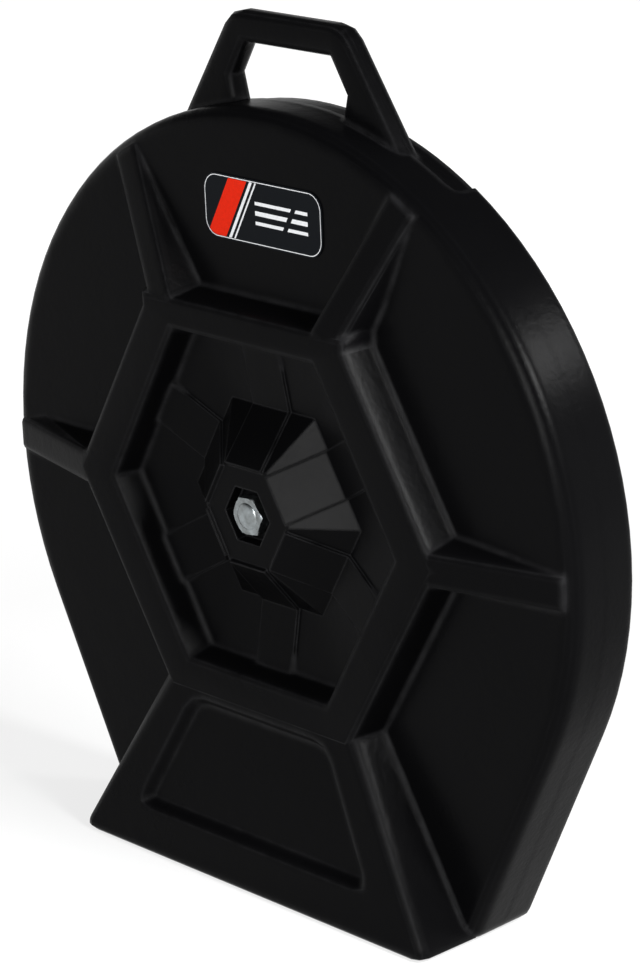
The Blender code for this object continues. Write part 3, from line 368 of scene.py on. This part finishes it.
def foam(name):
    """Closed-cell foam: a skin of tiny round cells."""
    t = Tree(name)
    cells = t.cells(1100.0)
    t.set(
        Base_Color=t.mix(t.range(cells, 0.1, 0.6), shade(0.5, FOAM), FOAM),
        Roughness=t.range(t.noise(90.0), 0.3, 0.7, 0.75, 0.9),
        Specular_IOR_Level=0.2,
        Normal=t.bump(cells, distance=0.0004, strength=0.7),
    )
    return t.material


def rubber(name):
    """Matt black rubber."""
    t = Tree(name)
    grain = t.noise(800.0, detail=4.0)
    t.set(
        Base_Color=t.mix(t.noise(30.0), RUBBER, shade(1.8, RUBBER)),
        Roughness=t.range(grain, 0.3, 0.7, 0.6, 0.75),
        Specular_IOR_Level=0.25,
        Normal=t.bump(grain, distance=0.0001, strength=0.5),
    )
    return t.material


def printed_plate(name):
    """Black plate with a hairline border, a red slanting band, two pale stripes and short bars."""
    low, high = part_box("nameplate")
    middle = (low + high) / 2
    half = (high - low) / 2
    t = Tree(name)
    x, _, z = t.split(t.where)
    across = t.math("SUBTRACT", x, middle.x)
    up = t.math("SUBTRACT", z, middle.z)
    side = t.math("SUBTRACT", t.math("ABSOLUTE", across), half.x - PLATE_CORNER)
    top = t.math("SUBTRACT", t.math("ABSOLUTE", up), half.z - PLATE_CORNER)
    past = t.join(t.math("MAXIMUM", side, 0.0), 0.0, t.math("MAXIMUM", top, 0.0))
    inside = t.math("MINIMUM", t.math("MAXIMUM", side, top), 0.0)
    edge = t.math("SUBTRACT", t.math("ADD", t.vector("LENGTH", past), inside), PLATE_CORNER)

    def band(value, centre, width):
        off = t.math("ABSOLUTE", t.math("SUBTRACT", value, centre))
        return t.range(off, width / 2 + PRINT_BLUR, width / 2 - PRINT_BLUR)

    border = band(edge, *BORDER)
    within = t.range(edge, *INSIDE_BORDER)
    slanted = t.math("SUBTRACT", across, t.math("MULTIPLY", up, PRINT_SLANT))
    red = t.math("MULTIPLY", within, band(slanted, *RED_BAND))
    stripes = t.math("MAXIMUM", band(slanted, *WIDE_STRIPE), band(slanted, *THIN_STRIPE))
    bars = band(t.math("ABSOLUTE", up), *OUTER_BARS)
    bars = t.math("MAXIMUM", bars, band(up, *MIDDLE_BAR))
    bars = t.math("MULTIPLY", bars, band(across, *BARS_SPAN))
    bars = t.math("MULTIPLY", bars, t.math("SUBTRACT", 1.0, band(slanted, *BARS_NOTCH)))
    white = t.math("MULTIPLY", within, t.math("MAXIMUM", stripes, bars))
    white = t.math("MAXIMUM", border, white)
    fade = t.range(t.noise(420.0, detail=5.0, roughness=0.7), 0.3, 0.6, 0.86, 1.0)
    colour = t.mix(t.math("MULTIPLY", red, fade), PLATE_BLACK, PLATE_RED)
    ink = t.math("MAXIMUM", red, white)
    soft = t.rounded(PRINT_EDGE, samples=4)
    t.set(
        Base_Color=t.mix(t.math("MULTIPLY", white, fade), colour, PLATE_WHITE),
        Roughness=t.range(t.noise(200.0, detail=3.0), 0.3, 0.7, 0.3, 0.4),
        Specular_IOR_Level=0.04,
        Normal=t.bump(ink, distance=0.00004, strength=0.5, normal=soft),
    )
    return t.material


def dress(node, material):
    """Gives a CAD node its finish."""
    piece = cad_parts[node]
    piece.data.materials.clear()
    piece.data.materials.append(material)


SMOOTH_GROUPS = {}


def smooth_group(degrees):
    """A modifier group that joins the mesh and marks as sharp only the edges above an angle."""
    if degrees in SMOOTH_GROUPS:
        return SMOOTH_GROUPS[degrees]
    group = bpy.data.node_groups.new(f"smooth_{degrees}", "GeometryNodeTree")
    group.interface.new_socket("Geometry", in_out="INPUT", socket_type="NodeSocketGeometry")
    group.interface.new_socket("Geometry", in_out="OUTPUT", socket_type="NodeSocketGeometry")
    make = group.nodes.new
    start, end = make("NodeGroupInput"), make("NodeGroupOutput")
    weld = make("GeometryNodeMergeByDistance")
    weld.inputs["Distance"].default_value = WELD
    faces = make("GeometryNodeSetShadeSmooth")
    faces.domain = "FACE"
    edges = make("GeometryNodeSetShadeSmooth")
    edges.domain = "EDGE"
    angle = make("GeometryNodeInputMeshEdgeAngle")
    keep = make("FunctionNodeCompare")
    keep.operation = "LESS_EQUAL"
    keep.inputs[1].default_value = math.radians(degrees)
    link = group.links.new
    link(start.outputs[0], weld.inputs[0])
    link(weld.outputs[0], faces.inputs[0])
    link(faces.outputs[0], edges.inputs[0])
    link(angle.outputs["Unsigned Angle"], keep.inputs[0])
    link(keep.outputs[0], edges.inputs["Shade Smooth"])
    link(edges.outputs[0], end.inputs[0])
    SMOOTH_GROUPS[degrees] = group
    return group


def soften(piece, degrees):
    """Smooth shading over the small facets of a piece, with its flat faces kept flat."""
    if "custom_normal" in piece.data.attributes:
        piece.data.attributes.remove(piece.data.attributes["custom_normal"])
    step = piece.modifiers.new("smooth", "NODES")
    step.node_group = smooth_group(degrees)
    weighted = piece.modifiers.new("weighted", "WEIGHTED_NORMAL")
    weighted.keep_sharp = True
    weighted.mode = "FACE_AREA"


def dress_hard_pieces():
    """Finishes for the shells, the plate and the fittings."""
    dress("front_shell", moulded_plastic("front_shell_plastic", SHELL, SHELL_EDGE, HUB_EDGE))
    dress("rear_shell", moulded_plastic("rear_shell_plastic", SHELL, LID_EDGE, specular=0.08))
    dress("lid_knob", moulded_plastic("knob_plastic", KNOB, KNOB_EDGE, specular=0.2))
    dress("nameplate", printed_plate("plate_print"))
    washers = ("head_washer", "clamp_washer", "lock_washer", "cup_washer", "lid_washer")
    for node in (*washers, "clamp_nut", "wing_nut"):
        dress(node, zinc(f"{node}_zinc"))
    dress("knob_insert", brass("insert_brass"))
    dress("post_sleeve", nylon("sleeve_nylon"))
    dress("lid_bush", nylon("bush_nylon"))
    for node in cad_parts:
        soften(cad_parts[node], SHELL_CREASE if node == "front_shell" else CREASE)


def build_bolt():
    """The bolt with its thread cut.

    The head is the CAD's own. The shank has a right-hand helix, which stays inside the CAD's shank.
    """
    low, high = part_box("centre_post")
    mesh = bmesh.new()
    mesh.from_mesh(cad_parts["centre_post"].data)
    bmesh.ops.remove_doubles(mesh, verts=mesh.verts, dist=HEAD_WELD)

    def on_shank(spot):
        off_axis = math.hypot(spot.x, spot.z - HUB_Z)
        return spot.y > low.y + HEAD_REACH and off_axis < POST_RADIUS + SHANK_SLACK

    shank = {vertex for vertex in mesh.verts if on_shank(vertex.co)}
    start = min(vertex.co.y for vertex in shank) - SHANK_OVERLAP
    faces = [face for face in mesh.faces if shank.issuperset(face.verts)]
    bmesh.ops.delete(mesh, geom=faces, context="FACES")
    bmesh.ops.holes_fill(mesh, edges=[edge for edge in mesh.edges if edge.is_boundary])
    rows = round((high.y - start) / THREAD_PITCH * THREAD_ROWS)
    loops = []
    for i in range(rows + 1):
        y = start + (high.y - start) * i / rows
        loop = []
        for k in range(THREAD_SIDES):
            a = 2 * math.pi * k / THREAD_SIDES
            phase = (y / THREAD_PITCH + k / THREAD_SIDES) % 1
            groove = THREAD_DEPTH * (1 - abs(2 * phase - 1))
            r = POST_RADIUS - max(groove, y - high.y + POST_TIP)
            loop.append(mesh.verts.new((r * math.cos(a), y, HUB_Z + r * math.sin(a))))
        loops.append(loop)
    for near, far in zip(loops, loops[1:]):
        for k in range(THREAD_SIDES):
            mesh.faces.new((near[k - 1], near[k], far[k], far[k - 1]))
    mesh.faces.new(loops[0])
    mesh.faces.new(loops[-1])
    bmesh.ops.recalc_face_normals(mesh, faces=mesh.faces)
    data = bpy.data.meshes.new("threaded_post")
    mesh.to_mesh(data)
    mesh.free()
    data.materials.append(zinc("post_zinc", THREAD_EDGE))
    piece = bpy.data.objects.new("threaded_post", data)
    bpy.context.scene.collection.objects.link(piece)
    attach(piece, "case")
    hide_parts("centre_post")
    soften(piece, CREASE)


def round_outline(radius, steps=144):
    """A circle round the stack's axis, as X and height."""
    turns = [2 * math.pi * i / steps for i in range(steps)]
    return [Vector((radius * math.cos(a), HUB_Z + radius * math.sin(a))) for a in turns]


def case_outline(inset):
    """The case's outline drawn in by the inset, as X and height."""
    turn = math.acos((RIM_RADIUS - CORNER_RADIUS) / math.hypot(CORNER_X, HUB_Z - CORNER_RADIUS))
    side = math.atan2(CORNER_RADIUS - HUB_Z, CORNER_X) + turn
    arcs = (
        (0, HUB_Z, RIM_RADIUS, side, math.pi - side, 132),
        (-CORNER_X, CORNER_RADIUS, CORNER_RADIUS, math.pi - side, 1.5 * math.pi, 8),
        (CORNER_X, CORNER_RADIUS, CORNER_RADIUS, -0.5 * math.pi, side, 8),
    )
    points = []
    for x, z, radius, start, end, steps in arcs:
        for i in range(steps + 1):
            a = start + (end - start) * i / steps
            reach = radius - inset
            points.append(Vector((x + reach * math.cos(a), z + reach * math.sin(a))))
    return points


def eased_section(width, low, high, radius, face_steps=14, corner_steps=4):
    """A closed section across a ring, with all four edges eased.

    Each point has its share of the way from the ring's hole to its rim, and its Y.
    """
    share = radius / width
    across = [share + (1 - 2 * share) * i / face_steps for i in range(face_steps + 1)]
    bends = [math.pi / 2 * i / corner_steps for i in range(1, corner_steps)]
    front = [(x, low) for x in across]
    front += [(1 - share + share * math.sin(a), low + radius - radius * math.cos(a)) for a in bends]
    front += [(1, low + radius)]
    rear = [(1, high - radius)]
    rear += [(1 - share + share * math.cos(a), high - radius + radius * math.sin(a)) for a in bends]
    rear += [(x, high) for x in reversed(across)]
    inner = [(share - share * math.sin(a), high - radius + radius * math.cos(a)) for a in bends]
    inner += [(0, high - radius), (0, low + radius)]
    inner += [(share - share * math.cos(a), low + radius - radius * math.sin(a)) for a in bends]
    return front + rear + inner


def swell(counts, spot):
    """Smooth noise from about 0 to 1, with so many waves a metre along each axis."""
    return 0.5 + 0.5 * noise.noise(Vector([count * c for count, c in zip(counts, spot)]))


def soft_ring(node, body, slot, material, outer, inner, radius, dip, ripple):
    """A soft piece in a CAD solid's place, with eased edges and slightly uneven faces.

    The faces dip between hole and rim, ripple on top of that, and never leave the solid.
    """
    low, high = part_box(node)
    middle, half = (low.y + high.y) / 2, (high.y - low.y) / 2
    width = min((a - b).length for a, b in zip(outer, inner))
    section = eased_section(width, low.y, high.y, radius)
    mesh = bmesh.new()
    loops = []
    for share, y in section:
        loop = []
        for rim, hole in zip(outer, inner):
            x, z = hole + share * (rim - hole)
            uneven = 0.7 * swell(BROAD_RIPPLE, (x, y, z)) + 0.3 * swell(FINE_RIPPLE, (x, y, z))
            sink = dip * math.sin(math.pi * share) ** 2 + ripple * uneven
            loop.append(mesh.verts.new((x, y - sink * (y - middle) / half, z)))
        loops.append(loop)
    for near, far in zip(loops, loops[1:] + loops[:1]):
        for i in range(len(near)):
            mesh.faces.new((near[i - 1], near[i], far[i], far[i - 1]))
    bmesh.ops.recalc_face_normals(mesh, faces=mesh.faces)
    for face in mesh.faces:
        face.smooth = True
    data = bpy.data.meshes.new(f"soft_{node}")
    mesh.to_mesh(data)
    mesh.free()
    data.materials.append(material)
    piece = bpy.data.objects.new(f"soft_{node}", data)
    bpy.context.scene.collection.objects.link(piece)
    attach(piece, body)
    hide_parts(node)
    return piece


def build_soft_pieces():
    """Felts, divider discs, foam pads and the lid's seal, in their CAD solids' places."""
    hole, rim = round_outline(SLEEVE_HOLE, steps=64), round_outline(FELT_RADIUS, steps=64)
    for node in ("front_felt", "rear_felt"):
        wool = felt(f"{node}_wool")
        ring = soft_ring(node, "case", node, wool, rim, hole, *FELT_SOFTNESS)
    hole, rim = round_outline(SLEEVE_HOLE), round_outline(DIVIDER_RADIUS)
    for i in (1, 2, 3):
        node = f"divider_{i}"
        wool = felt(f"{node}_wool")
        disc = soft_ring(node, "case", f"{node}_felt", wool, rim, hole, *DIVIDER_SOFTNESS)
    rim = case_outline(FRONT_PAD_INSET)
    hub = Vector((0, HUB_Z))
    hole = [hub + FRONT_PAD_HOLE * (point - hub).normalized() for point in rim]
    cells = foam("front_foam")
    pad = soft_ring("front_pad", "case", "front_pad_foam", cells, rim, hole, *PAD_SOFTNESS)
    hole, rim = round_outline(REAR_PAD_HOLE), round_outline(REAR_PAD_RADIUS)
    cells = foam("rear_foam")
    pad = soft_ring("rear_pad", "lid", "rear_pad_foam", cells, rim, hole, *PAD_SOFTNESS)
    rim, hole = case_outline(SEAL_OUTER_INSET), case_outline(SEAL_INNER_INSET)
    skin = rubber("seal_rubber")
    soft_ring("lid_seal", "lid", "seal_rubber", skin, rim, hole, *SEAL_SOFTNESS)


def floor_material():
    """A pale floor that shows white to the camera and in reflections, and keeps the shadow."""
    t = Tree("floor")
    path = t.nodes.new("ShaderNodeLightPath").outputs
    mirrored = t.math("MAXIMUM", path["Is Glossy Ray"], path["Is Transmission Ray"])
    seen = t.math("MAXIMUM", path["Is Camera Ray"], mirrored)
    glow = t.range(t.vector("LENGTH", t.where), *GLOW_DISTANCES, *GLOW_LEVELS)
    t.set(
        Base_Color=FLOOR_COLOUR,
        Roughness=1.0,
        Specular_IOR_Level=0.0,
        Emission_Color=(1.0, 1.0, 1.0),
        Emission_Strength=t.math("MULTIPLY", seen, glow),
    )
    return t.material


def studio_world():
    """Plain light for the object; seen or mirrored, the world is white low down and dark above."""
    world = bpy.data.worlds.new("studio")
    world.use_nodes = True
    nodes, links = world.node_tree.nodes, world.node_tree.links
    path = nodes.new("ShaderNodeLightPath").outputs
    seen = path["Is Camera Ray"]
    for other in ("Is Glossy Ray", "Is Transmission Ray"):
        either = nodes.new("ShaderNodeMath")
        either.operation = "MAXIMUM"
        links.new(seen, either.inputs[0])
        links.new(path[other], either.inputs[1])
        seen = either.outputs[0]
    split = nodes.new("ShaderNodeSeparateXYZ")
    links.new(nodes.new("ShaderNodeTexCoord").outputs["Generated"], split.inputs[0])
    fall = nodes.new("ShaderNodeMapRange")
    for socket, value in zip(list(fall.inputs)[1:5], SKY_HEIGHTS + SKY_LEVELS):
        socket.default_value = value
    links.new(split.outputs[2], fall.inputs[0])
    level = nodes.new("ShaderNodeMix")
    level.inputs[2].default_value = WORLD_LEVEL
    links.new(seen, level.inputs[0])
    links.new(fall.outputs[0], level.inputs[3])
    links.new(level.outputs[0], nodes["Background"].inputs["Strength"])
    nodes["Background"].inputs["Color"].default_value = (1, 1, 1, 1)
    return world


def build_stage():
    """Floor, world, lamps and camera."""
    mesh = bpy.data.meshes.new("floor")
    corners = [(x * FLOOR_HALF, y * FLOOR_HALF, 0) for x, y in ((-1, -1), (1, -1), (1, 1), (-1, 1))]
    mesh.from_pydata(corners, [], [(0, 1, 2, 3)])
    floor = bpy.data.objects.new("floor", mesh)
    floor.location.z = -FLOOR_DROP
    mesh.materials.append(floor_material())
    bpy.context.scene.collection.objects.link(floor)

    bpy.context.scene.world = studio_world()
    for values in LAMPS:
        lamp(*values)
    build_camera()


def lamp(name, azimuth, elevation, distance, size, level):
    """A soft box that faces the case; its level is how bright it lights a white face.

    The azimuth, in degrees, runs from the front round by the right.
    """
    a, e = math.radians(azimuth), math.radians(elevation)
    back = Vector((math.sin(a) * math.cos(e), -math.cos(a) * math.cos(e), math.sin(e)))
    data = bpy.data.lights.new(name, "AREA")
    data.shape = "RECTANGLE"
    data.size, data.size_y = size
    data.energy = level * (math.pi * distance) ** 2
    piece = bpy.data.objects.new(name, data)
    piece.location = TARGET + back * distance
    piece.rotation_mode = "QUATERNION"
    piece.rotation_quaternion = (-back).to_track_quat("-Z", "Y")
    piece.visible_camera = False
    bpy.context.scene.collection.objects.link(piece)


def build_camera():
    """The photograph's viewing angle, with no shift and no depth of field."""
    level, down = math.cos(VIEW_PITCH), math.sin(VIEW_PITCH)
    forward = Vector((-math.sin(VIEW_YAW) * level, math.cos(VIEW_YAW) * level, -down))
    right = forward.cross(Vector((0, 0, 1))).normalized()
    up = right.cross(forward)
    c, s = math.cos(VIEW_ROLL), math.sin(VIEW_ROLL)
    right, up = c * right + s * up, c * up - s * right
    off_x = (TARGET_PX[0] - FRAME_PX[0] / 2) / FOCAL_PX
    off_y = -(TARGET_PX[1] - FRAME_PX[1] / 2) / FOCAL_PX
    place = TARGET - TARGET_DISTANCE * (off_x * right + off_y * up + forward)
    data = bpy.data.cameras.new("camera")
    data.sensor_width = SENSOR
    data.lens = SENSOR * FOCAL_PX / max(FRAME_PX)
    data.clip_end = CLIP_END
    camera = bpy.data.objects.new("camera", data)
    axes = Matrix((right, up, -forward)).transposed().to_4x4()
    camera.matrix_world = Matrix.Translation(place) @ axes
    bpy.context.scene.collection.objects.link(camera)
    bpy.context.scene.camera = camera


bpy.context.scene.view_settings.view_transform = "Standard"
build_stage()
dress_hard_pieces()
build_bolt()
build_soft_pieces()
